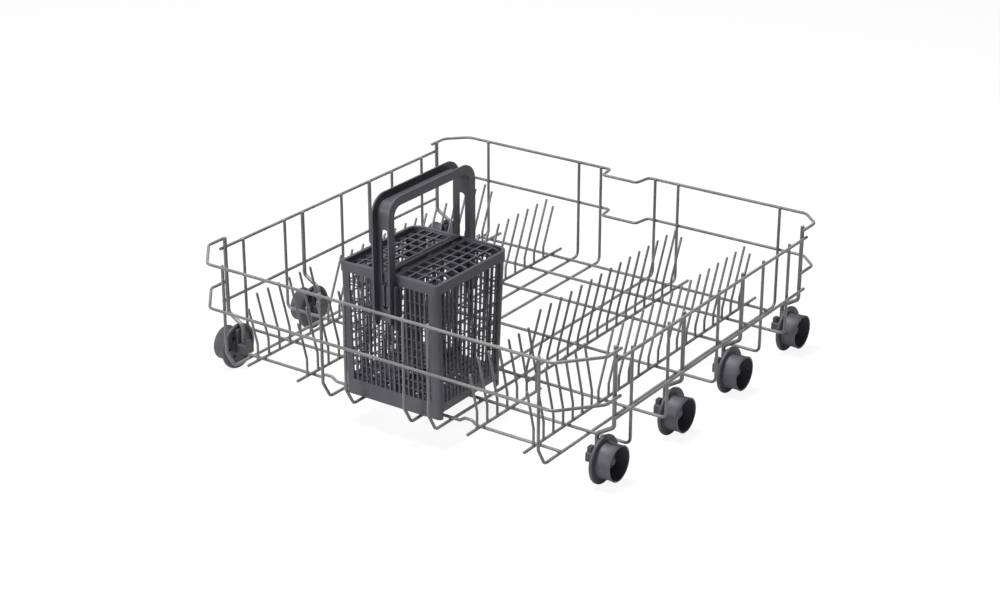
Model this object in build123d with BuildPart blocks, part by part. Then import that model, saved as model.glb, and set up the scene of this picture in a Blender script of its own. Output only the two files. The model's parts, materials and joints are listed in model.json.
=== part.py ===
"""A dishwasher's lower rack: a coated wire frame on eight wheels, with a cutlery basket.

Millimetres. X runs across the rack, Y from front to back and Z up from the floor it rolls on.
The origin is on the floor, under the middle of the rack.
"""
import os
from math import hypot

from build123d import *

os.makedirs("parts", exist_ok=True)

# The wire frame as a whole. Every place of a wire is the place of its centre line.
rack_half_width = 262.5
rack_half_depth = 255.9
frame_wire = 3.5
bracket_wire = 4.6
tine_wire = 2.8
wire_end_round = 0.9
long_wire_height = 31.0

# Rims: U-shaped wires with cut corners at the front and the back.
upper_rim_height = 154.0
lower_rim_height = 101.5
front_corner_width = 36.2
front_corner_depth = 43.0
back_corner_width = 22.5
back_corner_depth = 22.6
rim_bend = 12.0
rim_leg_overhang = 5.0
notch_half_width = 24.0
notch_flare = 3.5
notch_depth = 22.9
notch_bend = 5.0

# Straight wires along both sides.
upper_side_height = 143.0
lower_side_height = 79.1
side_wire_overhang = 4.5
side_post_overhang = 2.6

# Wires that run front to back, and wires that run side to side.
long_wire_shares = {"outer": 0.7905, "inner": 0.2693, "centre": 0.1474}
front_kink_height = 51.0
front_foot_setback = 11.5
long_wire_bend = 7.0
cross_wire_shares = (-0.623, -0.340, 0.072, 0.461, 0.700)
cross_wire_bend = 6.5
front_cross_share = -0.838
rear_cross_share = 0.893
cross_end_overhang = 2.0
hump_share = 0.358
hump_height = 4.2
hump_top = 9.0
hump_foot = 22.0
hump_bend = 3.0

# Rods that carry the plate tines, and the tines.
outer_rod_share = 0.703
front_rod_share = 0.434
back_rod_share = 0.3505
rod_front_share = -0.955
rod_back_share = 0.965
rod_split_share = -0.42
rod_split_gap = 6.0
front_tine_count = 7
front_tine_pitch = 18.4
front_tine_start_share = -0.886
front_tine_lean = -16.0
front_tine_kink_rise = 18.5
front_tine_top = 119.0
back_tine_count = 16
back_tine_pitch = 20.6
back_tine_start_share = -0.4025
back_tine_lean = 27.4
back_tine_kink_rise = 13.5
back_tine_top = 115.0
end_tine_drop = 13.8
tine_bend = 5.0
tine_tip_round = 1.0

# Brackets that carry the wheels, and the moulded axle holders on them.
bracket_shares = (-0.7455, -0.2155, 0.282, 0.8235)
bracket_top_above_rim = 3.2
bracket_shoulder_height = 66.0
bracket_end_height = 54.0
bracket_bend = 6.0
holder_width = 12.0
holder_plate = 3.8
holder_foot = 7.5
holder_rise = 22.3
holder_block = (11.6, 14.0, 11.0)
holder_block_round = 2.0
holder_tab = (5.0, 7.0, 5.0)
axle_radius = 4.0
axle_head = 0.7
axle_head_length = 2.2
axle_nose = 0.8
wheel_side_gap = 0.4

# Wheels: hollow, with a guiding flange on the inner side.
wheel_flange_radius = 26.7
wheel_flange = 4.0
wheel_flange_round = 1.6
wheel_lip_radius = 19.9
wheel_waist_radius = 19.3
wheel_root_radius = 20.3
wheel_width = 21.1
wheel_outer_reach = 3.4
wheel_lip_round = 0.7
wheel_wall = 1.7
wheel_cup_draft = 1.6
wheel_web_place = 6.6
wheel_recess = 2.2
wheel_recess_outer = 22.8
wheel_recess_inner = 9.5
wheel_hub_radius = 7.2
wheel_hub_length = 11.4
wheel_windows = 6
wheel_window_radius = 2.3
wheel_window_place = 12.9
running_clearance = 0.06

# The cutlery basket. Its front and its back lean outwards, its sides are upright.
basket_centre = 7.0
basket_half_width = 64.0
basket_front_setback = 19.9
basket_depth = 132.0
basket_front_lean = 4.8
basket_back_lean = 10.2
basket_top = 190.6
basket_rest_gap = 0.1
basket_wall = 2.2
basket_front_round = 5.0
basket_back_round = 14.0
bottom_band = 18.2
side_lift = 8.6
floor_thickness = 2.6
floor_cells_x = 13
floor_cells_y = 12
floor_hole_share = 0.62
runner_count = 3
runner_spacing = 40.0
rim_band = 10.6
rim_thickness = 4.0
rim_lip = 0.8
rim_round = 0.7
rib_height = 2.2
lower_rows = 7
lower_row_spacing = 9.5
upper_rows = 4
front_post_margin = 5.5
back_post_margin = 1.0
front_slots = 17
back_slots = 16
side_slots = 15
slot_share = 0.56
divider_windows = 9
divider_window_share = 0.7
divider_window_inset = 8.0
ridge_rise = 1.6
ridge_height = 9.0
ridge_width = 4.4

# Grid lids over both halves of the basket, and the pins that they turn on.
lid_gap = 0.9
lid_thickness = 2.4
lid_dip = 5.0
lid_flat_share = 0.6
lid_cells_x = 4
lid_cells_y = 8
lid_bar = 2.2
lid_edge_bar = 2.8
lid_below_rim = 1.0
lid_pin_radius = 1.2
lid_pin_offset = 6.0
lid_barrel_radius = 2.6
lid_barrel_length = 9.0
lid_barrel_count = 3
lid_barrel_spacing = 44.0
lid_edge_offset = 1.9

# The arch handle, a channel with its flanges turned outwards, and the lugs that guide it.
handle_half_width = 11.3
handle_web = 2.2
handle_flange_depth = 10.0
handle_flange = 2.0
handle_top = 275.6
handle_bottom = 137.0
handle_bend = 21.0
handle_foot_round = 4.0
handle_gap = 0.35
slot_width = 9.0
slot_top = 240.0
slot_bottom = 150.5
lug_top = 178.0
lug_clearance = 0.5
lug_reach = 1.2
lug_slit = 2.4
rail_gap = 0.7
rail_width = 2.6
rail_depth = 5.0
rail_bottom = 131.0

overrun = 5.0

# Places that follow from the sizes above.
cross_wire_height = long_wire_height + frame_wire
rod_height = cross_wire_height + frame_wire
inner_front = -rack_half_depth + frame_wire
inner_back = rack_half_depth - frame_wire
bracket_x = rack_half_width - (frame_wire + bracket_wire) / 2
upright_x = rack_half_width - frame_wire
wheel_inner_x = rack_half_width + wheel_outer_reach - wheel_width
bracket_places = [share * rack_half_depth for share in bracket_shares]
cross_places = [share * rack_half_depth for share in cross_wire_shares]
basket_front = -rack_half_depth + basket_front_setback
basket_back = basket_front + basket_depth
basket_rest = cross_wire_height + frame_wire / 2 + basket_rest_gap
band_top = basket_rest + bottom_band
floor_top = band_top
floor_lift = bottom_band - floor_thickness
rim_bottom = basket_top - rim_band
wall_half_width = basket_half_width - rim_lip
front_low = basket_front + basket_front_lean
front_high = basket_front + rim_lip
back_low = basket_back - basket_back_lean
back_high = basket_back - rim_lip
wall_rise = rim_bottom - band_top
pin_height = basket_top - lid_below_rim - lid_thickness / 2
SIDES = {"left": -1, "right": 1}


def keep(shape, name):
    """Label a finished piece and write it to its own file."""
    shape.label = name
    export_step(shape, f"parts/{name}.step")


def bent_wire(points, bends, diameter, end_round):
    """A round wire through the points, bent at each corner, with softened ends."""
    with BuildPart() as piece:
        with BuildLine() as path:
            if len(points) > 2:
                FilletPolyline(*points, radius=bends)
            else:
                Line(*points)
        with BuildSketch(Plane(origin=path.line @ 0, z_dir=path.line % 0)):
            Circle(diameter / 2)
        sweep()
        fillet(piece.faces().filter_by(GeomType.PLANE).edges(), radius=end_round)
    return piece.part


# Rims
leg_front = bracket_places[0] + rim_leg_overhang
leg_back = bracket_places[-1] - rim_leg_overhang
for name, height in (("upper", upper_rim_height), ("lower", lower_rim_height)):
    front_points = [
        (-rack_half_width, leg_front, height),
        (-rack_half_width, -rack_half_depth + front_corner_depth, height),
        (-rack_half_width + front_corner_width, -rack_half_depth, height),
        (rack_half_width - front_corner_width, -rack_half_depth, height),
        (rack_half_width, -rack_half_depth + front_corner_depth, height),
        (rack_half_width, leg_front, height),
    ]
    keep(bent_wire(front_points, rim_bend, frame_wire, wire_end_round), f"front_rim_{name}")

    notch_edge = notch_half_width + notch_flare
    notch_floor = rack_half_depth - notch_depth
    back_points = [
        (-rack_half_width, leg_back, height),
        (-rack_half_width, rack_half_depth - back_corner_depth, height),
        (-rack_half_width + back_corner_width, rack_half_depth, height),
        (-notch_edge, rack_half_depth, height),
        (-notch_half_width, notch_floor, height),
        (notch_half_width, notch_floor, height),
        (notch_edge, rack_half_depth, height),
        (rack_half_width - back_corner_width, rack_half_depth, height),
        (rack_half_width, rack_half_depth - back_corner_depth, height),
        (rack_half_width, leg_back, height),
    ]
    back_bends = [rim_bend] * 2 + [notch_bend] * 4 + [rim_bend] * 2
    keep(bent_wire(back_points, back_bends, frame_wire, wire_end_round), f"back_rim_{name}")

# Side wires
side_front = bracket_places[0] - side_wire_overhang
side_back = bracket_places[-1] + side_wire_overhang
for side, sign in SIDES.items():
    for name, height in (("upper", upper_side_height), ("lower", lower_side_height)):
        ends = [(sign * rack_half_width, y, height) for y in (side_front, side_back)]
        keep(bent_wire(ends, rim_bend, frame_wire, wire_end_round), f"side_wire_{name}_{side}")

# Wires from front to back
rim_top = upper_rim_height + frame_wire / 2
for name, share in long_wire_shares.items():
    for side, sign in SIDES.items():
        x = sign * share * rack_half_width
        points = [
            (x, inner_front, rim_top),
            (x, inner_front, front_kink_height),
            (x, inner_front + front_foot_setback, long_wire_height),
            (x, inner_back, long_wire_height),
            (x, inner_back, rim_top),
        ]
        wire = bent_wire(points, long_wire_bend, frame_wire, wire_end_round)
        keep(wire, f"long_wire_{name}_{side}")

# Wires from side to side, with an upright at both ends
upright_top = upper_side_height + side_post_overhang
for number, y in enumerate(cross_places, start=1):
    points = [
        (-upright_x, y, upright_top),
        (-upright_x, y, cross_wire_height),
        (upright_x, y, cross_wire_height),
        (upright_x, y, upright_top),
    ]
    wire = bent_wire(points, cross_wire_bend, frame_wire, wire_end_round)
    keep(wire, f"cross_wire_{number}")

# Short cross wires at the front, with two humps, and at the back
cross_end = long_wire_shares["outer"] * rack_half_width + cross_end_overhang
front_cross_y = front_cross_share * rack_half_depth
hump_x = hump_share * rack_half_width
hump_level = cross_wire_height + hump_height
half_points = [
    (hump_x - hump_foot / 2, front_cross_y, cross_wire_height),
    (hump_x - hump_top / 2, front_cross_y, hump_level),
    (hump_x + hump_top / 2, front_cross_y, hump_level),
    (hump_x + hump_foot / 2, front_cross_y, cross_wire_height),
    (cross_end, front_cross_y, cross_wire_height),
]
mirrored_points = [(-x, y, z) for x, y, z in reversed(half_points)]
keep(
    bent_wire(mirrored_points + half_points, hump_bend, frame_wire, wire_end_round),
    "front_cross_wire",
)
rear_cross_y = rear_cross_share * rack_half_depth
rear_ends = [(end, rear_cross_y, cross_wire_height) for end in (-cross_end, cross_end)]
keep(bent_wire(rear_ends, rim_bend, frame_wire, wire_end_round), "rear_cross_wire")

# Tine rods
rod_front = rod_front_share * rack_half_depth
rod_back = rod_back_share * rack_half_depth
rod_split = rod_split_share * rack_half_depth
rod_runs = {
    "outer": (outer_rod_share, rod_front, rod_back),
    "front": (front_rod_share, rod_front, rod_split),
    "back": (back_rod_share, rod_split + rod_split_gap, rod_back),
}
for name, (share, start, end) in rod_runs.items():
    for side, sign in SIDES.items():
        x = sign * share * rack_half_width
        rod = bent_wire([(x, start, rod_height), (x, end, rod_height)], 0, frame_wire, wire_end_round)
        keep(rod, f"tine_rod_{name}_{side}")


# Plate tines
def tine(lean, kink_rise, top):
    """One tine at the origin of its foot: upright at first, then leaning along Y."""
    foot = rod_height + frame_wire / 2
    points = [(0, 0, foot), (0, 0, foot + kink_rise), (0, lean, top)]
    return bent_wire(points, tine_bend, tine_wire, tine_tip_round)


def tine_row(x, start, pitch, count, lean, kink_rise, top, short_end):
    """A row of equal tines. The one at the short end is cut shorter and leans as much."""
    slope = lean / (top - rod_height - frame_wire / 2 - kink_rise)
    long_tine = tine(lean, kink_rise, top)
    short_tine = tine(lean - slope * end_tine_drop, kink_rise, top - end_tine_drop)
    feet = [(x, start + number * pitch, 0) for number in range(count)]
    short_foot = feet.pop(short_end)
    with BuildPart() as row:
        with Locations(*feet):
            add(long_tine)
        with Locations(short_foot):
            add(short_tine)
    return row.part


for side, sign in SIDES.items():
    outer_x = sign * outer_rod_share * rack_half_width
    for name, share in (("outer", outer_rod_share), ("inner", front_rod_share)):
        row = tine_row(
            sign * share * rack_half_width, front_tine_start_share * rack_half_depth,
            front_tine_pitch, front_tine_count,
            front_tine_lean, front_tine_kink_rise, front_tine_top, 0,
        )
        keep(row, f"front_tines_{name}_{side}")
    for name, share in (("outer", outer_rod_share), ("inner", back_rod_share)):
        row = tine_row(
            sign * share * rack_half_width, back_tine_start_share * rack_half_depth,
            back_tine_pitch, back_tine_count,
            back_tine_lean, back_tine_kink_rise, back_tine_top, -1,
        )
        keep(row, f"back_tines_{name}_{side}")

# Wheel brackets
end_bracket_top = upper_rim_height + bracket_top_above_rim
middle_bracket_top = upper_side_height + bracket_top_above_rim
plate_outer_x = wheel_inner_x - wheel_side_gap
plate_inner_x = plate_outer_x - holder_plate
bracket_end_x = plate_inner_x - bracket_wire / 2


def bracket_points(sign, y, top):
    """The centre line of a wheel bracket on one side of the rack."""
    return [
        (sign * bracket_x, y, top),
        (sign * bracket_x, y, bracket_shoulder_height),
        (sign * bracket_end_x, y, bracket_end_height),
        (sign * bracket_end_x, y, wheel_flange_radius + holder_block[2] / 2),
    ]


for side, sign in SIDES.items():
    with BuildPart() as brackets:
        for number, y in enumerate(bracket_places):
            at_end = number in (0, len(bracket_places) - 1)
            top = end_bracket_top if at_end else middle_bracket_top
            add(bent_wire(bracket_points(sign, y, top), bracket_bend, bracket_wire, wire_end_round))
    keep(brackets.part, f"wheel_brackets_{side}")

# Axle holders: a plate beside the bracket's lower end, a block under it and a stub axle
axle_tip_x = wheel_inner_x + wheel_hub_length + wheel_side_gap + axle_head_length


def axle_holder(sign, y):
    """One moulded holder: it hangs from the lower end of a bracket beside its wheel."""
    out = Plane(origin=(0, y, wheel_flange_radius), x_dir=(0, 1, 0), z_dir=(sign, 0, 0))
    plate_bottom = -holder_foot
    plate_height = holder_rise + holder_foot
    middle = plate_bottom + plate_height / 2
    block_length, block_width, block_height = holder_block
    tab_length, tab_width, tab_height = holder_tab
    with BuildPart() as holder:
        with BuildSketch(out.offset(plate_inner_x)):
            with Locations((0, sign * middle)):
                RectangleRounded(holder_width, plate_height, holder_block_round)
        extrude(amount=holder_plate)
        with BuildSketch(out.offset(plate_inner_x - block_length)):
            RectangleRounded(block_width, block_height, holder_block_round)
        extrude(amount=block_length)
        with BuildSketch(out.offset(plate_inner_x - block_length)):
            with Locations((0, sign * (block_height + tab_height) / 2)):
                Rectangle(tab_width, tab_height)
        extrude(amount=tab_length)
        with BuildSketch(out.offset(plate_outer_x)):
            Circle(axle_radius)
        extrude(amount=axle_tip_x - plate_outer_x)
        with BuildSketch(out.offset(axle_tip_x - axle_head_length)):
            Circle(axle_radius + axle_head)
        extrude(amount=axle_head_length)
        tip = holder.faces().sort_by(Axis.X)[-1 if sign > 0 else 0]
        chamfer(tip.edges(), length=axle_nose)
    return holder.part


for side, sign in SIDES.items():
    with BuildPart() as holders:
        for y in bracket_places:
            add(axle_holder(sign, y))
    keep(holders.part, f"axle_holders_{side}")


# Wheels
def wheel(sign, y):
    """One hollow flanged wheel, turned about the axle that carries it."""
    start = (sign * wheel_inner_x, y, wheel_flange_radius)
    axle_line = Axis(start, (sign, 0, 0))
    cup_mouth = wheel_lip_radius - wheel_wall
    with BuildPart() as body:
        with BuildSketch(Plane(origin=start, x_dir=(sign, 0, 0), z_dir=(0, 0, 1))) as profile:
            with BuildLine():
                Polyline(
                    (0, 0), (0, wheel_flange_radius),
                    (wheel_flange, wheel_flange_radius), (wheel_flange, wheel_root_radius),
                )
                ThreePointArc(
                    (wheel_flange, wheel_root_radius),
                    ((wheel_flange + wheel_width) / 2, wheel_waist_radius),
                    (wheel_width, wheel_lip_radius),
                )
                Polyline((wheel_width, wheel_lip_radius), (wheel_width, 0), (0, 0))
            make_face()
            fillet(profile.vertices().group_by(Axis.Y)[-1], radius=wheel_flange_round)
        revolve(axis=axle_line)
        with BuildSketch(Plane(origin=start, x_dir=(sign, 0, 0), z_dir=(0, 0, 1))):
            with BuildLine():
                Polyline(
                    (wheel_web_place, wheel_hub_radius),
                    (wheel_web_place, cup_mouth - wheel_cup_draft),
                    (wheel_width, cup_mouth),
                    (wheel_width + overrun, cup_mouth),
                    (wheel_width + overrun, 0),
                    (wheel_hub_length, 0),
                    (wheel_hub_length, wheel_hub_radius),
                    (wheel_web_place, wheel_hub_radius),
                )
            make_face()
        revolve(axis=axle_line, mode=Mode.SUBTRACT)
        with BuildSketch(Plane(origin=start, x_dir=(sign, 0, 0), z_dir=(0, 0, 1))):
            with BuildLine():
                Polyline(
                    (-overrun, wheel_recess_inner), (wheel_recess, wheel_recess_inner),
                    (wheel_recess, wheel_recess_outer), (-overrun, wheel_recess_outer),
                    (-overrun, wheel_recess_inner),
                )
            make_face()
        revolve(axis=axle_line, mode=Mode.SUBTRACT)
        with BuildSketch(Plane(origin=start, x_dir=(0, 1, 0), z_dir=(sign, 0, 0))):
            Circle(axle_radius + running_clearance)
            with PolarLocations(wheel_window_place, wheel_windows):
                Circle(wheel_window_radius)
        extrude(amount=wheel_width, both=True, mode=Mode.SUBTRACT)
    return body.part


for side, sign in SIDES.items():
    for number, y in enumerate(bracket_places, start=1):
        keep(wheel(sign, y), f"wheel_{number}_{side}")


# Cutlery basket
def outline(front, back, half_width, inset):
    """The basket's outline seen from above, with small front and large back corners."""
    with BuildSketch() as shape:
        with Locations((basket_centre, (front + back) / 2)):
            Rectangle(2 * (half_width - inset), back - front - 2 * inset)
        fillet(shape.vertices().group_by(Axis.Y)[0], radius=basket_front_round - inset)
        fillet(shape.vertices().group_by(Axis.Y)[-1], radius=basket_back_round - inset)
    return shape.sketch


def slot_rows():
    """Height and size of each row of slots: narrow rows below, wide rows above."""
    narrow = lower_row_spacing
    wide = (wall_rise - lower_rows * narrow) / upper_rows
    rows = [(band_top + (row + 0.5) * narrow, narrow - rib_height) for row in range(lower_rows)]
    start = band_top + lower_rows * narrow
    rows += [(start + (row + 0.5) * wide, wide - rib_height) for row in range(upper_rows)]
    return rows


# Floor: a shallow tray with a solid band around it and runners that stand on the wires
with BuildPart() as floor:
    with BuildSketch(Plane.XY.offset(basket_rest)):
        add(outline(front_low, back_low, wall_half_width, 0))
        add(outline(front_low, back_low, wall_half_width, basket_wall), mode=Mode.SUBTRACT)
    extrude(amount=bottom_band)
    with BuildSketch(Plane.YZ):
        with Locations(((front_low + basket_front_round + back_low - basket_back_round) / 2, basket_rest)):
            Rectangle(
                back_low - basket_back_round - front_low - basket_front_round, 2 * side_lift,
            )
    extrude(amount=2 * basket_half_width, both=True, mode=Mode.SUBTRACT)
    with BuildSketch(Plane.XY.offset(basket_rest + floor_lift)):
        add(outline(front_low, back_low, wall_half_width, basket_wall / 2))
        cell_x = 2 * (wall_half_width - basket_wall) / floor_cells_x
        cell_y = (back_low - front_low - 2 * basket_wall) / floor_cells_y
        with Locations((basket_centre, (front_low + back_low) / 2)):
            with GridLocations(cell_x, cell_y, floor_cells_x - 1, floor_cells_y - 1):
                Rectangle(
                    cell_x * floor_hole_share, cell_y * floor_hole_share, mode=Mode.SUBTRACT,
                )
    extrude(amount=floor_thickness)
    with BuildSketch(Plane.XY.offset(basket_rest)):
        with Locations((basket_centre, (front_low + back_low) / 2)):
            with GridLocations(runner_spacing, runner_spacing, runner_count, 1):
                Rectangle(basket_wall, back_low - front_low - basket_wall)
    extrude(amount=floor_lift)
keep(floor.part, "basket_floor")

# Front and back walls: leaning grilles between the corner posts
front_span = wall_half_width - basket_front_round
back_span = wall_half_width - basket_back_round
for name, low, high, inward, half_span, margin, count in (
    ("front", front_low, front_high, basket_wall, front_span, front_post_margin, front_slots),
    ("back", back_low, back_high, -basket_wall, back_span, back_post_margin, back_slots),
):
    pitch = 2 * (half_span - margin) / count
    with BuildPart() as wall:
        with BuildSketch(Plane.YZ.offset(basket_centre)):
            with BuildLine():
                Polyline(
                    (low, band_top), (low + inward, band_top),
                    (high + inward, rim_bottom), (high, rim_bottom), close=True,
                )
            make_face()
        extrude(amount=half_span, both=True)
        with BuildSketch(Plane.XZ.offset(-low)):
            for height, size in slot_rows():
                with Locations((basket_centre, height)):
                    with GridLocations(pitch, pitch, count, 1):
                        Rectangle(pitch * slot_share, size)
        extrude(amount=basket_back_lean + overrun, both=True, mode=Mode.SUBTRACT)
    keep(wall.part, f"basket_{name}_wall")

# Side walls: upright grilles whose rows get longer towards the top
for side, sign in SIDES.items():
    with BuildPart() as wall:
        with BuildSketch(Plane.YZ.offset(basket_centre + sign * (wall_half_width - basket_wall / 2))):
            with BuildLine():
                Polyline(
                    (front_low + basket_front_round, band_top),
                    (back_low - basket_back_round, band_top),
                    (back_high - basket_back_round, rim_bottom),
                    (front_high + basket_front_round, rim_bottom),
                    close=True,
                )
            make_face()
            for height, size in slot_rows():
                share = (height - band_top) / wall_rise
                start = front_low + (front_high - front_low) * share + basket_front_round
                end = back_low + (back_high - back_low) * share - basket_back_round
                pitch = (end - start) / side_slots
                with Locations(((start + end) / 2, height)):
                    with GridLocations(pitch, pitch, side_slots, 1):
                        Rectangle(pitch * slot_share, size, mode=Mode.SUBTRACT)
        extrude(amount=basket_wall / 2, both=True)
    keep(wall.part, f"basket_{side}_wall")

# Corner posts: rounded strips that lean with the front or the back
with BuildPart() as posts:
    for low, high, radius, inward in (
        (front_low, front_high, basket_front_round, 1),
        (back_low, back_high, basket_back_round, -1),
    ):
        for sign in SIDES.values():
            corner_x = basket_centre + sign * (wall_half_width - radius)
            with BuildSketch(Plane.XY.offset(band_top)) as quarter:
                with Locations((corner_x, low + inward * radius)):
                    Circle(radius)
                    Circle(radius - basket_wall, mode=Mode.SUBTRACT)
                with Locations((corner_x + sign * radius / 2, low + inward * radius / 2)):
                    Rectangle(radius, radius, mode=Mode.INTERSECT)
            extrude(amount=hypot(high - low, wall_rise), dir=(0, high - low, wall_rise))
keep(posts.part, "basket_corner_posts")

# Rim
with BuildPart() as rim:
    with BuildSketch(Plane.XY.offset(rim_bottom)):
        add(outline(basket_front, basket_back, basket_half_width, 0))
        add(outline(basket_front, basket_back, basket_half_width, rim_thickness), mode=Mode.SUBTRACT)
    extrude(amount=rim_band)
    fillet(rim.faces().sort_by(Axis.Z)[-1].edges(), radius=rim_round)
keep(rim.part, "basket_rim")

# Divider, with a ridge between the lids
rim_front = basket_front + rim_thickness
rim_back = basket_back - rim_thickness
with BuildPart() as divider:
    with BuildSketch(Plane.YZ.offset(basket_centre)):
        with BuildLine():
            Polyline(
                (front_low + basket_wall, floor_top),
                (front_high + basket_wall, rim_bottom),
                (rim_front, rim_bottom),
                (rim_front, basket_top),
                (rim_back, basket_top),
                (rim_back, rim_bottom),
                (back_high - basket_wall, rim_bottom),
                (back_low - basket_wall, floor_top),
                close=True,
            )
        make_face()
        window_bottom = floor_top + divider_window_inset
        window_top = rim_bottom - divider_window_inset
        window_pitch = (back_low - front_low - 2 * basket_wall) / divider_windows
        with Locations(((front_low + back_low) / 2, (window_bottom + window_top) / 2)):
            with GridLocations(window_pitch, window_pitch, divider_windows, 1):
                Rectangle(
                    window_pitch * divider_window_share, window_top - window_bottom,
                    mode=Mode.SUBTRACT,
                )
    extrude(amount=basket_wall / 2, both=True)
    with BuildSketch(Plane.XZ.offset(-rim_front)):
        with Locations((basket_centre, basket_top + ridge_rise - ridge_height / 2)):
            RectangleRounded(ridge_width, ridge_height, ridge_width / 3)
    extrude(amount=rim_front - rim_back)
keep(divider.part, "basket_divider")

# Pins between the front and the back of the rim, one on each side of the ridge
with BuildPart() as pins:
    with BuildSketch(Plane.XZ.offset(-rim_front)):
        with Locations((basket_centre, pin_height)):
            with GridLocations(2 * lid_pin_offset, lid_pin_offset, 2, 1):
                Circle(lid_pin_radius)
    extrude(amount=rim_front - rim_back)
keep(pins.part, "lid_hinge_pins")


# Lids
def lid():
    """The right lid: a grid that starts flat at its pin and dips towards the basket's side."""
    inner = lid_pin_offset + lid_edge_offset
    outer = basket_half_width - rim_thickness - lid_gap
    bend = inner + (outer - inner) * lid_flat_share
    half = lid_thickness / 2
    front = rim_front + lid_gap
    back = rim_back - lid_gap
    middle = (front + back) / 2
    section = Plane.XZ.offset(-middle).shift_origin((basket_centre, middle, pin_height))
    with BuildPart() as grid:
        with BuildSketch(section):
            with BuildLine():
                Line((inner, half), (bend, half))
                TangentArc((bend, half), (outer, half - lid_dip), tangent=(1, 0))
                Line((outer, half - lid_dip), (outer, -half - lid_dip))
                TangentArc((bend, -half), (outer, -half - lid_dip), tangent=(1, 0))
                Polyline((bend, -half), (inner, -half), (inner, half))
            make_face()
        extrude(amount=(back - front) / 2, both=True)
        with BuildSketch(Plane.XY.offset(pin_height)) as plan:
            with Locations((basket_centre, middle)):
                Rectangle(2 * outer, back - front)
            back_corners = plan.vertices().group_by(Axis.Y)[-1]
            fillet(back_corners, radius=basket_back_round - rim_thickness)
            cells_wide = outer - inner - 2 * lid_edge_bar + lid_bar
            cells_deep = back - front - 2 * lid_edge_bar + lid_bar
            cell_x = cells_wide / lid_cells_x
            cell_y = cells_deep / lid_cells_y
            with Locations((basket_centre + (inner + outer) / 2, middle)):
                with GridLocations(cell_x, cell_y, lid_cells_x, lid_cells_y):
                    Rectangle(cell_x - lid_bar, cell_y - lid_bar, mode=Mode.SUBTRACT)
        extrude(amount=lid_dip + lid_thickness, both=True, mode=Mode.INTERSECT)
        for number in range(lid_barrel_count):
            place = (number - (lid_barrel_count - 1) / 2) * lid_barrel_spacing
            with BuildSketch(section.offset(place - lid_barrel_length / 2)):
                with Locations((lid_pin_offset, 0)):
                    Circle(lid_barrel_radius)
                    Circle(lid_pin_radius + running_clearance, mode=Mode.SUBTRACT)
            extrude(amount=lid_barrel_length)
    return grid.part


right_lid = lid()
keep(right_lid, "lid_right")
middle_plane = Plane.YZ.offset(basket_centre)
keep(mirror(right_lid, about=middle_plane, mode=Mode.PRIVATE), "lid_left")


# Arch handle
web_front = basket_front - handle_gap
web_back = basket_back + handle_gap


def arch(outset, bottom, foot_round):
    """The side view of an arch whose faces stand this far outside the webs' inner faces."""
    height = handle_top - handle_flange_depth + outset - bottom
    with BuildSketch() as shape:
        with Locations(((web_front + web_back) / 2, bottom + height / 2)):
            Rectangle(web_back - web_front + 2 * outset, height)
        fillet(
            shape.vertices().group_by(Axis.Y)[-1],
            radius=handle_bend - handle_flange_depth + outset,
        )
        if foot_round:
            fillet(shape.vertices().group_by(Axis.Y)[0], radius=foot_round)
    return shape.sketch


channel_half_width = handle_half_width - handle_flange
with BuildPart() as handle:
    with BuildSketch(Plane.YZ.offset(basket_centre)):
        add(arch(handle_flange_depth, handle_bottom, handle_foot_round))
        add(arch(0, handle_bottom - overrun, 0), mode=Mode.SUBTRACT)
    extrude(amount=handle_half_width, both=True)
    with BuildSketch(Plane.YZ.offset(basket_centre)):
        add(arch(handle_flange_depth + overrun, handle_bottom - overrun, 0))
        add(arch(handle_web, handle_bottom - 2 * overrun, 0), mode=Mode.SUBTRACT)
    extrude(amount=channel_half_width, both=True, mode=Mode.SUBTRACT)
    with BuildSketch(Plane.XZ.offset(-(web_front + web_back) / 2)):
        with Locations((basket_centre, (slot_bottom + slot_top) / 2)):
            SlotOverall(slot_top - slot_bottom, slot_width, rotation=90)
    extrude(amount=basket_depth, both=True, mode=Mode.SUBTRACT)
keep(handle.part, "basket_handle")

# Lugs on the front and back walls that stand through the handle's slots
lug_half_width = slot_width / 2 - lug_clearance
lug_bottom = slot_bottom + slot_width / 2


def wall_place(low, high, height):
    """The place of a leaning wall's outer face at a height."""
    return low + (high - low) * (height - band_top) / wall_rise


with BuildPart() as lugs:
    for low, high, web, outward in (
        (front_low, front_high, web_front, -1),
        (back_low, back_high, web_back, 1),
    ):
        tip = web + outward * (handle_web + lug_reach)
        with BuildSketch(Plane.YZ.offset(basket_centre)):
            with BuildLine():
                Polyline(
                    (wall_place(low, high, lug_bottom), lug_bottom), (tip, lug_bottom),
                    (tip, lug_top), (wall_place(low, high, lug_top), lug_top), close=True,
                )
            make_face()
        extrude(amount=lug_half_width, both=True)
        with BuildSketch(Plane.XY.offset(lug_bottom)):
            with Locations((basket_centre, web + outward * overrun)):
                Rectangle(lug_slit, 2 * overrun)
        extrude(amount=lug_top - lug_bottom, mode=Mode.SUBTRACT)
        # Rails beside the handle's leg, from the rim down
        edge = web + outward * rail_depth
        for sign in SIDES.values():
            rail_x = basket_centre + sign * (handle_half_width + rail_gap + rail_width / 2)
            with BuildSketch(Plane.YZ.offset(rail_x)):
                with BuildLine():
                    Polyline(
                        (wall_place(low, high, rail_bottom), rail_bottom), (edge, rail_bottom),
                        (edge, rim_bottom), (wall_place(low, high, rim_bottom), rim_bottom),
                        close=True,
                    )
                make_face()
            extrude(amount=rail_width / 2, both=True)
keep(lugs.part, "handle_guides")
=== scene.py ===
# %% [markdown]
# # A dishwasher's lower rack
# The frame holds every wire, wheel and basket wall at its real size. This script gives them their
# finishes, adds the welds that join the wires, draws the basket's walls as open lattices, and sets up
# the floor, the lights and the camera. All lengths are in metres.

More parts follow.
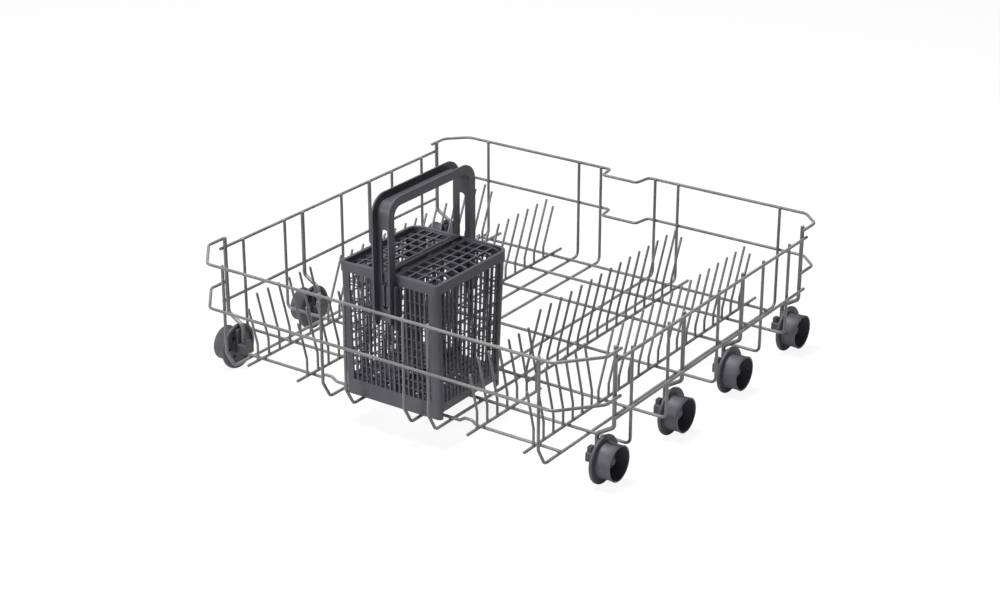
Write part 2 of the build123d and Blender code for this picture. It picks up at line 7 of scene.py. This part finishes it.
# %% Load the frame
import bmesh, bpy, json, math
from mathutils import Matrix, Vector


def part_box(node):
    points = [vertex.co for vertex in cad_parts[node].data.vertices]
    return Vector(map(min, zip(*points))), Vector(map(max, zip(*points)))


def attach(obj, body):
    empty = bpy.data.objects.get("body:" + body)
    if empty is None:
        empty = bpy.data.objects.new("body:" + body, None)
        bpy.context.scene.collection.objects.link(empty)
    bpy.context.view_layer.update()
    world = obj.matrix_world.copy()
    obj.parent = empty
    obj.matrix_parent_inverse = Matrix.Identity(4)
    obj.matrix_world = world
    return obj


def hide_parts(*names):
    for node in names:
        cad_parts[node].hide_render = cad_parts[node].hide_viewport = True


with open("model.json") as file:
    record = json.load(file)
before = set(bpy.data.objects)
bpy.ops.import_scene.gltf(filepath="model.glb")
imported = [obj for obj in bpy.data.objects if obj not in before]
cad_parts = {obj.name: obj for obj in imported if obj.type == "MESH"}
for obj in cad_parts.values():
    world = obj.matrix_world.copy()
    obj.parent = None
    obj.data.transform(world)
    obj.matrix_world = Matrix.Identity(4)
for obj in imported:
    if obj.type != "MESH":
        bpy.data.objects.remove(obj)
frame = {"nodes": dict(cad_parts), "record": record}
NODES = frame["nodes"]
scene = bpy.context.scene
scene.view_settings.view_transform = "Standard"
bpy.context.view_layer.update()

# %% [markdown]
# ## Camera
# The picture was taken from the right front corner, a little above the rack, with a long lens. The
# place and the angles were worked out from the wheels and the corners of the rims.

# %% Camera
eye = (1.26560, -1.84465, 1.03242)
yaw, tilt = -0.60664, -0.40386
sensor_width = 36.0
picture_width = 1000
focal_pixels = 2131.06
lens_data = bpy.data.cameras.new("studio_camera")
lens_data.sensor_width = sensor_width
lens_data.lens = sensor_width * focal_pixels / picture_width
camera = bpy.data.objects.new("studio_camera", lens_data)
camera.location = eye
camera.rotation_euler = (math.pi / 2 + tilt, 0.0, -yaw)
scene.collection.objects.link(camera)
scene.camera = camera
print("lens", round(lens_data.lens, 1), "mm")

# %% [markdown]
# ## Shader maths
# A material is a tree of nodes. Writing its sums as Python expressions keeps them readable, so one
# small class wraps a socket and turns the operators into Math nodes.


# %% A socket that does sums
class Field:
    """A value in a material's node tree."""

    def __init__(self, tree, socket):
        self.tree, self.socket = tree, socket

    def math(self, operation, *others):
        settings = {"operation": operation}
        inputs = {0: self, **{number + 1: value for number, value in enumerate(others)}}
        return add_node(self.tree, "ShaderNodeMath", settings, inputs)

    def __add__(self, other):
        return self.math("ADD", other)

    def __sub__(self, other):
        return self.math("SUBTRACT", other)

    def __mul__(self, other):
        return self.math("MULTIPLY", other)

    __radd__, __rmul__ = __add__, __mul__


def add_node(tree, kind, settings=(), values=(), output=0):
    """Adds a node, sets it up, feeds its inputs with values or links, and returns one output."""
    node = tree.nodes.new(kind)
    for name, value in dict(settings).items():
        if name == "stops":
            for stop, (place, colour) in zip(node.color_ramp.elements, value):
                stop.position, stop.color = place, colour
        else:
            setattr(node, name, value)
    for key, value in dict(values).items():
        if isinstance(value, Field):
            tree.links.new(value.socket, node.inputs[key])
        else:
            node.inputs[key].default_value = value
    return Field(tree, node.outputs[output])


# %% [markdown]
# ## Finishes
# Every finish starts the same way: a base colour that drifts a little over the surface, a roughness
# that drifts with it, and a fine grain in the normal. The noise reads Object coordinates, in metres,
# so its scale says how many grains fit in a metre. A painted highlight, a pale colour, is mixed onto
# faces turned up.

# %% One recipe for a moulded or coated surface
# The pale colour of the painted highlight on faces turned up, standing in for the light from above.
top_highlight_colour = (0.62, 0.62, 0.64, 1.0)
patch_edges = (0.32, 0.68)
coat_roughness = 0.25


def make_finish(name, dark, light, rough, patch_scale, grain_scale, grain_depth, top_highlight=0.0, coat=0.0):
    material = bpy.data.materials.new(name)
    material.use_nodes = True
    tree = material.node_tree
    shader = tree.nodes["Principled BSDF"]
    place = add_node(tree, "ShaderNodeTexCoord", output="Object")
    patches = add_node(
        tree, "ShaderNodeTexNoise", values={"Vector": place, "Scale": patch_scale, "Detail": 4.0},
    )
    grain = add_node(
        tree, "ShaderNodeTexNoise", values={"Vector": place, "Scale": grain_scale, "Detail": 2.0},
    )
    stops = [(patch_edges[0], (*dark, 1.0)), (patch_edges[1], (*light, 1.0))]
    tone = add_node(tree, "ShaderNodeValToRGB", {"stops": stops}, {"Fac": patches})
    if top_highlight:
        # Painted highlight: faces that turn up are mixed towards the pale colour, as if lit from above.
        facing = add_node(tree, "ShaderNodeNewGeometry", output="Normal")
        height = add_node(tree, "ShaderNodeSeparateXYZ", values={"Vector": facing}, output="Z")
        lit = (height * 0.5 + 0.5).math("POWER", 3.0) * (patches * 0.6 + 0.4) * top_highlight
        # A colour Mix node has its factor at 0, its two colours at 6 and 7 and its result at 2.
        tone = add_node(
            tree, "ShaderNodeMix", {"data_type": "RGBA"}, {0: lit, 6: tone, 7: top_highlight_colour}, output=2,
        )
    tree.links.new(tone.socket, shader.inputs["Base Color"])
    roughness = rough + (patches - 0.5) * 0.16 + (grain - 0.5) * 0.08
    tree.links.new(roughness.socket, shader.inputs["Roughness"])
    relief = add_node(
        tree, "ShaderNodeBump", values={"Strength": 0.5, "Distance": grain_depth, "Height": grain},
        output="Normal",
    )
    tree.links.new(relief.socket, shader.inputs["Normal"])
    shader.inputs["Coat Weight"].default_value = coat
    shader.inputs["Coat Roughness"].default_value = coat_roughness
    return material


# %% [markdown]
# The wires are steel dipped in a grey nylon coat: satin, slightly orange-peeled, with a painted
# highlight on their tops.
# The basket, the wheels and their holders are moulded in three near shades of anthracite, with the
# fine spark-eroded grain that such moulds leave.

# %% The four finishes
# The highlight argument of each finish sets how strong the painted highlight on its up-facing faces is;
# the wires get the most.
coated_wire = make_finish(
    "coated_wire", (0.070, 0.070, 0.069), (0.108, 0.108, 0.106), rough=0.30,
    patch_scale=30.0, grain_scale=900.0, grain_depth=0.00012, top_highlight=0.42, coat=0.42,
)
basket_plastic = make_finish(
    "basket_plastic", (0.046, 0.047, 0.058), (0.060, 0.061, 0.074), rough=0.42,
    patch_scale=24.0, grain_scale=2200.0, grain_depth=0.00010, top_highlight=0.06,
)
wheel_plastic = make_finish(
    "wheel_plastic", (0.050, 0.051, 0.062), (0.066, 0.067, 0.081), rough=0.54,
    patch_scale=40.0, grain_scale=2400.0, grain_depth=0.00008, top_highlight=0.04,
)
holder_plastic = make_finish(
    "holder_plastic", (0.044, 0.045, 0.054), (0.060, 0.061, 0.072), rough=0.48,
    patch_scale=40.0, grain_scale=2000.0, grain_depth=0.00010,
)
FINISHES = {
    "coated_wire": coated_wire,
    "basket_plastic": basket_plastic,
    "wheel_plastic": wheel_plastic,
    "holder_plastic": holder_plastic,
}

for part in frame["record"]["subparts"]:
    mesh = NODES[part["node"]].data
    mesh.materials.clear()
    mesh.materials.append(FINISHES[part["material_slot"]])
print(len(NODES), "pieces have their finish")


# %% [markdown]
# ## Welds
# Where two wires cross, the real rack is spot-welded and then coated, so a small soft bead fills the
# corner. The beads are hundreds of near-equal things at known places, which is what instances are
# for: one point for each weld, and one little sphere on each point.

# %% Where the wires meet
X, Y, Z = 0, 1, 2


def middle(node, axis):
    """The middle of a piece along one axis."""
    low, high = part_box(node)
    return (low[axis] + high[axis]) / 2


def wire_list(prefix):
    """The names of all pieces that start with a prefix, in order."""
    return sorted(name for name in NODES if name.startswith(prefix))


long_wires, cross_wires = wire_list("long_wire_"), wire_list("cross_wire_")
short_wires = ["front_cross_wire", "rear_cross_wire"]
side_wires, rods = wire_list("side_wire_"), wire_list("tine_rod_")
wire_low, wire_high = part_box("side_wire_lower_left")
wire_radius = (wire_high.z - wire_low.z) / 2
welds = []
for across in cross_wires + short_wires:
    y, underside = middle(across, Y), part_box(across)[0].z
    for along in long_wires:
        welds.append((middle(along, X), y, underside))
    for rod in rods:
        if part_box(rod)[0].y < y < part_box(rod)[1].y:
            welds.append((middle(rod, X), y, underside + 2 * wire_radius))
for along in long_wires:
    for rim, sign in (("front_rim", -1), ("back_rim", 1)):
        for level in ("upper", "lower"):
            z = middle(f"{rim}_{level}", Z)
            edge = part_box(f"{rim}_{level}")[1 if sign > 0 else 0].y
            welds.append((middle(along, X), edge - sign * 2 * wire_radius, z))
for side in side_wires:
    x, z = middle(side, X), middle(side, Z)
    inner = x - math.copysign(wire_radius, x)
    for across in cross_wires:
        welds.append((inner, middle(across, Y), z))
print(len(welds), "welds between wires")

# %% Where the tines stand on their rods
feet = []
foot_height, foot_spacing = 0.0004, 0.005
rod_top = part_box(rods[0])[1].z
for group in wire_list("front_tines_") + wire_list("back_tines_"):
    mesh = NODES[group].data
    lowest = [v.co for v in mesh.vertices if v.co.z < rod_top + foot_height]
    for number in sorted({round(v.y / foot_spacing) for v in lowest}):
        foot_points = [v for v in lowest if round(v.y / foot_spacing) == number]
        foot_x = sum(v.x for v in foot_points) / len(foot_points)
        foot_y = sum(v.y for v in foot_points) / len(foot_points)
        feet.append((foot_x, foot_y, rod_top))
print(len(feet), "tine feet found")


# %% [markdown]
# The node tree takes the points, puts an icosphere on each, varies its size a little from a fixed
# seed, and ends in Realize Instances, because only real faces survive the export.

# %% The bead tree
smallest_bead, largest_bead = 0.85, 1.12


def bead_tree():
    tree = bpy.data.node_groups.new("weld_beads", "GeometryNodeTree")
    tree.interface.new_socket("Points", in_out="INPUT", socket_type="NodeSocketGeometry")
    for name, kind in (
        ("Radius", "NodeSocketFloat"), ("Seed", "NodeSocketInt"), ("Finish", "NodeSocketMaterial"),
    ):
        tree.interface.new_socket(name, in_out="INPUT", socket_type=kind)
    tree.interface.new_socket("Beads", in_out="OUTPUT", socket_type="NodeSocketGeometry")
    start, end = tree.nodes.new("NodeGroupInput"), tree.nodes.new("NodeGroupOutput")
    bead = tree.nodes.new("GeometryNodeMeshIcoSphere")
    bead.inputs["Subdivisions"].default_value = 2
    vary = tree.nodes.new("FunctionNodeRandomValue")
    # A Random Value node of floats has its limits at inputs 2 and 3 and its value at output 1.
    vary.inputs[2].default_value, vary.inputs[3].default_value = smallest_bead, largest_bead
    place = tree.nodes.new("GeometryNodeInstanceOnPoints")
    real = tree.nodes.new("GeometryNodeRealizeInstances")
    smooth = tree.nodes.new("GeometryNodeSetShadeSmooth")
    paint = tree.nodes.new("GeometryNodeSetMaterial")
    link = tree.links.new
    link(start.outputs["Radius"], bead.inputs["Radius"])
    link(start.outputs["Seed"], vary.inputs["Seed"])
    link(start.outputs["Points"], place.inputs["Points"])
    link(bead.outputs["Mesh"], place.inputs["Instance"])
    link(vary.outputs[1], place.inputs["Scale"])
    link(place.outputs["Instances"], real.inputs["Geometry"])
    link(real.outputs["Geometry"], smooth.inputs["Geometry"])
    link(smooth.outputs["Geometry"], paint.inputs["Geometry"])
    link(start.outputs["Finish"], paint.inputs["Material"])
    link(paint.outputs["Geometry"], end.inputs["Beads"])
    return tree


def set_inputs(modifier, tree, values):
    """Sets a modifier's inputs by the identifiers of their sockets."""
    for item in tree.interface.items_tree:
        if item.item_type == "SOCKET" and item.in_out == "INPUT" and item.name in values:
            modifier[item.identifier] = values[item.name]


def beads(name, places, radius, seed, tree):
    """One piece on the rack, with a bead at each place."""
    points = bpy.data.meshes.new(name + "_points")
    points.from_pydata(places, [], [])
    maker = bpy.data.objects.new(name + "_maker", points)
    scene.collection.objects.link(maker)
    modifier = maker.modifiers.new("beads", "NODES")
    modifier.node_group = tree
    set_inputs(modifier, tree, {"Radius": radius, "Seed": seed, "Finish": coated_wire})
    seen = maker.evaluated_get(bpy.context.evaluated_depsgraph_get())
    mesh = bpy.data.meshes.new_from_object(seen)
    mesh.name = name
    bpy.data.objects.remove(maker)
    piece = bpy.data.objects.new(name, mesh)
    scene.collection.objects.link(piece)
    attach(piece, "rack")
    print(name, len(mesh.polygons), "faces")


# %% Make the welds
weld_tree = bead_tree()
beads("wire_welds", welds, radius=wire_radius * 1.05, seed=3, tree=weld_tree)
beads("tine_welds", feet, radius=wire_radius * 0.98, seed=5, tree=weld_tree)

# %% [markdown]
# ## The basket's lattice walls
# On the real basket each wall is a moulded lattice: slim upright bars on the outside and thinner
# level ribs just behind them, so light and water pass. A row of equal bars follows one rule, a start,
# a step and a turn, so a single node tree makes every row of all four walls. The front and the back
# lean outwards, and the uprights of the side walls fan out between them.


# %% A row of bars
def row_tree():
    tree = bpy.data.node_groups.new("row_of_bars", "GeometryNodeTree")
    for name, kind in (
        ("Count", "NodeSocketInt"), ("Start", "NodeSocketVector"), ("Step", "NodeSocketVector"),
        ("Size", "NodeSocketVector"), ("Turn", "NodeSocketVector"), ("Turn Step", "NodeSocketVector"),
        ("Finish", "NodeSocketMaterial"),
    ):
        tree.interface.new_socket(name, in_out="INPUT", socket_type=kind)
    tree.interface.new_socket("Bars", in_out="OUTPUT", socket_type="NodeSocketGeometry")
    start, end = tree.nodes.new("NodeGroupInput"), tree.nodes.new("NodeGroupOutput")
    line = tree.nodes.new("GeometryNodeMeshLine")
    line.mode = "OFFSET"
    bar = tree.nodes.new("GeometryNodeMeshCube")
    index = tree.nodes.new("GeometryNodeInputIndex")
    turn = tree.nodes.new("ShaderNodeVectorMath")
    turn.operation = "MULTIPLY_ADD"
    place = tree.nodes.new("GeometryNodeInstanceOnPoints")
    real = tree.nodes.new("GeometryNodeRealizeInstances")
    paint = tree.nodes.new("GeometryNodeSetMaterial")
    link = tree.links.new
    link(start.outputs["Count"], line.inputs["Count"])
    link(start.outputs["Start"], line.inputs["Start Location"])
    link(start.outputs["Step"], line.inputs["Offset"])
    link(start.outputs["Size"], bar.inputs["Size"])
    link(index.outputs[0], turn.inputs[0])
    link(start.outputs["Turn Step"], turn.inputs[1])
    link(start.outputs["Turn"], turn.inputs[2])
    link(line.outputs["Mesh"], place.inputs["Points"])
    link(bar.outputs["Mesh"], place.inputs["Instance"])
    link(turn.outputs[0], place.inputs["Rotation"])
    link(place.outputs["Instances"], real.inputs["Geometry"])
    link(real.outputs["Geometry"], paint.inputs["Geometry"])
    link(start.outputs["Finish"], paint.inputs["Material"])
    link(paint.outputs["Geometry"], end.inputs["Bars"])
    return tree


def row_of_bars(tree, **values):
    """One row as a plain mesh."""
    maker = bpy.data.objects.new("row_maker", bpy.data.meshes.new("row_maker"))
    scene.collection.objects.link(maker)
    modifier = maker.modifiers.new("row", "NODES")
    modifier.node_group = tree
    set_inputs(modifier, tree, {"Finish": basket_plastic, **values})
    seen = maker.evaluated_get(bpy.context.evaluated_depsgraph_get())
    mesh = bpy.data.meshes.new_from_object(seen)
    bpy.data.objects.remove(maker)
    return mesh


# %% Join rows and soften their edges
edge_softening = 0.0003


def lattice(name, rows, node):
    """Joins rows into one wall, rounds its edges a little and lets it stand for the CAD wall."""
    joined = bmesh.new()
    for mesh in rows:
        joined.from_mesh(mesh)
    mesh = bpy.data.meshes.new(name)
    bmesh.ops.bevel(joined, geom=joined.edges[:], offset=edge_softening, segments=1, affect="EDGES")
    joined.to_mesh(mesh)
    joined.free()
    mesh.materials.append(basket_plastic)
    piece = bpy.data.objects.new(name, mesh)
    scene.collection.objects.link(piece)
    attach(piece, "cutlery_basket")
    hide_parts(node)
    print(name, len(mesh.polygons), "faces")


# %% [markdown]
# All four walls share their heights. The ribs stand close together in the lower half of the basket,
# where the ends of the cutlery rest, and wide apart above it.

# %% Sizes of the lattices
wall_thickness = 0.0022
bar_width, rib_height = 0.0024, 0.0015
bar_depth, rib_depth = wall_thickness * 0.75, wall_thickness * 0.5
bar_shift, rib_shift = wall_thickness * 0.12, wall_thickness * 0.22
close_rows, open_rows, close_step = 7, 4, 0.0095
front_low, front_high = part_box("basket_front_wall")
back_low, back_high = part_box("basket_back_wall")
bottom, top = front_low.z, front_high.z
rise, mid_height = top - bottom, (bottom + top) / 2
open_step = (rise - close_rows * close_step) / open_rows
rib_levels = [bottom + close_step * n for n in range(1, close_rows + 1)]
rib_levels += [rib_levels[-1] + open_step * n for n in range(1, open_rows)]
print("rib levels", [round(z, 4) for z in rib_levels])

# %% Front and back
row = row_tree()
for name, node, out, spaces, post in (
    ("front_lattice", "basket_front_wall", -1, 17, 0.0055),
    ("back_lattice", "basket_back_wall", 1, 15, 0.0010),
):
    low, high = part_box(node)
    foot = low.y + wall_thickness / 2 if out > 0 else high.y - wall_thickness / 2
    head = high.y - wall_thickness / 2 if out > 0 else low.y + wall_thickness / 2
    slope = (head - foot) / rise
    turn = (-math.atan(slope), 0.0, 0.0)
    length = math.hypot(rise, head - foot)
    step = (high.x - low.x - 2 * post) / spaces
    mid_y = (foot + head) / 2 + out * bar_shift
    rows = [row_of_bars(
        row, Count=spaces - 1, Start=(low.x + post + step, mid_y, mid_height),
        Step=(step, 0.0, 0.0), Size=(bar_width, bar_depth, length), Turn=turn,
    )]
    post_inset = post / 2 + bar_width / 4
    for x in (low.x + post_inset, high.x - post_inset):
        rows.append(row_of_bars(
            row, Count=1, Start=(x, mid_y, mid_height),
            Size=(post + bar_width / 2, wall_thickness, length), Turn=turn,
        ))
    for z in rib_levels:
        y = foot + (z - bottom) * slope - out * rib_shift
        rows.append(row_of_bars(
            row, Count=1, Start=((low.x + high.x) / 2, y, z),
            Size=(high.x - low.x, rib_depth, rib_height), Turn=turn,
        ))
    lattice(name, rows, node)

# %% Sides
uprights = 16
front_lean = (front_high.y - front_low.y) - wall_thickness
back_lean = (back_high.y - back_low.y) - wall_thickness
for name, node, out in (
    ("left_lattice", "basket_left_wall", -1),
    ("right_lattice", "basket_right_wall", 1),
):
    low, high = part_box(node)
    x = (low.x + high.x) / 2
    first_head, last_head = low.y + bar_width / 2, high.y - bar_width / 2
    first_foot, last_foot = first_head + front_lean, last_head - back_lean
    first_mid, last_mid = (first_head + first_foot) / 2, (last_head + last_foot) / 2
    first_turn = math.atan((first_foot - first_head) / rise)
    last_turn = math.atan((last_foot - last_head) / rise)
    fan = {
        "Turn": (first_turn, 0.0, 0.0),
        "Turn Step": ((last_turn - first_turn) / (uprights - 1), 0.0, 0.0),
    }
    rows = [row_of_bars(
        row, Count=uprights, Start=(x + out * bar_shift, first_mid, mid_height),
        Step=(0.0, (last_mid - first_mid) / (uprights - 1), 0.0), Size=(bar_depth, bar_width, rise),
        **fan,
    )]
    for z in rib_levels:
        share = (z - bottom) / rise
        near = first_foot + (first_head - first_foot) * share
        far = last_foot + (last_head - last_foot) * share
        rows.append(row_of_bars(
            row, Count=1, Start=(x - out * rib_shift, (near + far) / 2, z),
            Size=(rib_depth, far - near + bar_width, rib_height),
        ))
    lattice(name, rows, node)

# %% [markdown]
# ## Studio
# The ground is plain white and the light is soft. A disc above the rack lights the tops of the wires,
# a second in front and to the left lights the faces, and a weak one on the right keeps the far sides
# from going black. The world adds a little from all round, more in reflections. To the camera the
# floor is mostly its own glow, which makes it white, and the rest of it keeps a faint shadow.


# %% Lights
def soft_light(name, place, target, size, power):
    """A round area light that faces its target."""
    data = bpy.data.lights.new(name, "AREA")
    data.shape, data.size, data.energy = "DISK", size, power
    lamp = bpy.data.objects.new(name, data)
    lamp.location = place
    lamp.rotation_euler = (Vector(target) - Vector(place)).to_track_quat("-Z", "Y").to_euler()
    scene.collection.objects.link(lamp)


soft_light("above", (-0.1, -0.4, 2.4), target=(0, 0, 0.05), size=0.8, power=66.0)
soft_light("front_left", (-0.8, -2.5, 1.2), target=(0, 0, 0.1), size=0.8, power=32.0)
soft_light("right", (2.4, 0.4, 1.2), target=(0, 0, 0.1), size=0.8, power=2.0)

# %% World and floor
world = bpy.data.worlds.new("studio")
scene.world = world
world.use_nodes = True
sky = world.node_tree
seen_directly = add_node(sky, "ShaderNodeLightPath", output="Is Camera Ray")
in_gloss = add_node(sky, "ShaderNodeLightPath", output="Is Glossy Ray")
world_fill, world_in_gloss = 0.07, 0.35
seen = seen_directly.math("MAXIMUM", in_gloss * world_in_gloss)
strength = seen * (1.0 - world_fill) + world_fill
sky.nodes["Background"].inputs["Color"].default_value = (1.0, 1.0, 1.0, 1.0)
sky.links.new(strength.socket, sky.nodes["Background"].inputs["Strength"])

reach = 30
corners = [(-reach, -reach, 0), (reach, -reach, 0), (reach, reach, 0), (-reach, reach, 0)]
floor_mesh = bpy.data.meshes.new("floor")
floor_mesh.from_pydata(corners, [], [(0, 1, 2, 3)])
floor = bpy.data.objects.new("floor", floor_mesh)
scene.collection.objects.link(floor)
ground = bpy.data.materials.new("pale_floor")
ground.use_nodes = True
ground_tree = ground.node_tree
paint = ground_tree.nodes["Principled BSDF"]
paint.inputs["Base Color"].default_value = (0.9, 0.9, 0.9, 1.0)
paint.inputs["Roughness"].default_value = 0.9
glow_strength, glow_share = 1.06, 0.85
glow = add_node(ground_tree, "ShaderNodeEmission", values={"Strength": glow_strength})
camera_ray = add_node(ground_tree, "ShaderNodeLightPath", output="Is Camera Ray")
mixed = add_node(
    ground_tree, "ShaderNodeMixShader",
    values={0: camera_ray * glow_share, 1: Field(ground_tree, paint.outputs[0]), 2: glow},
)
ground_tree.links.new(mixed.socket, ground_tree.nodes["Material Output"].inputs["Surface"])
floor_mesh.materials.append(ground)
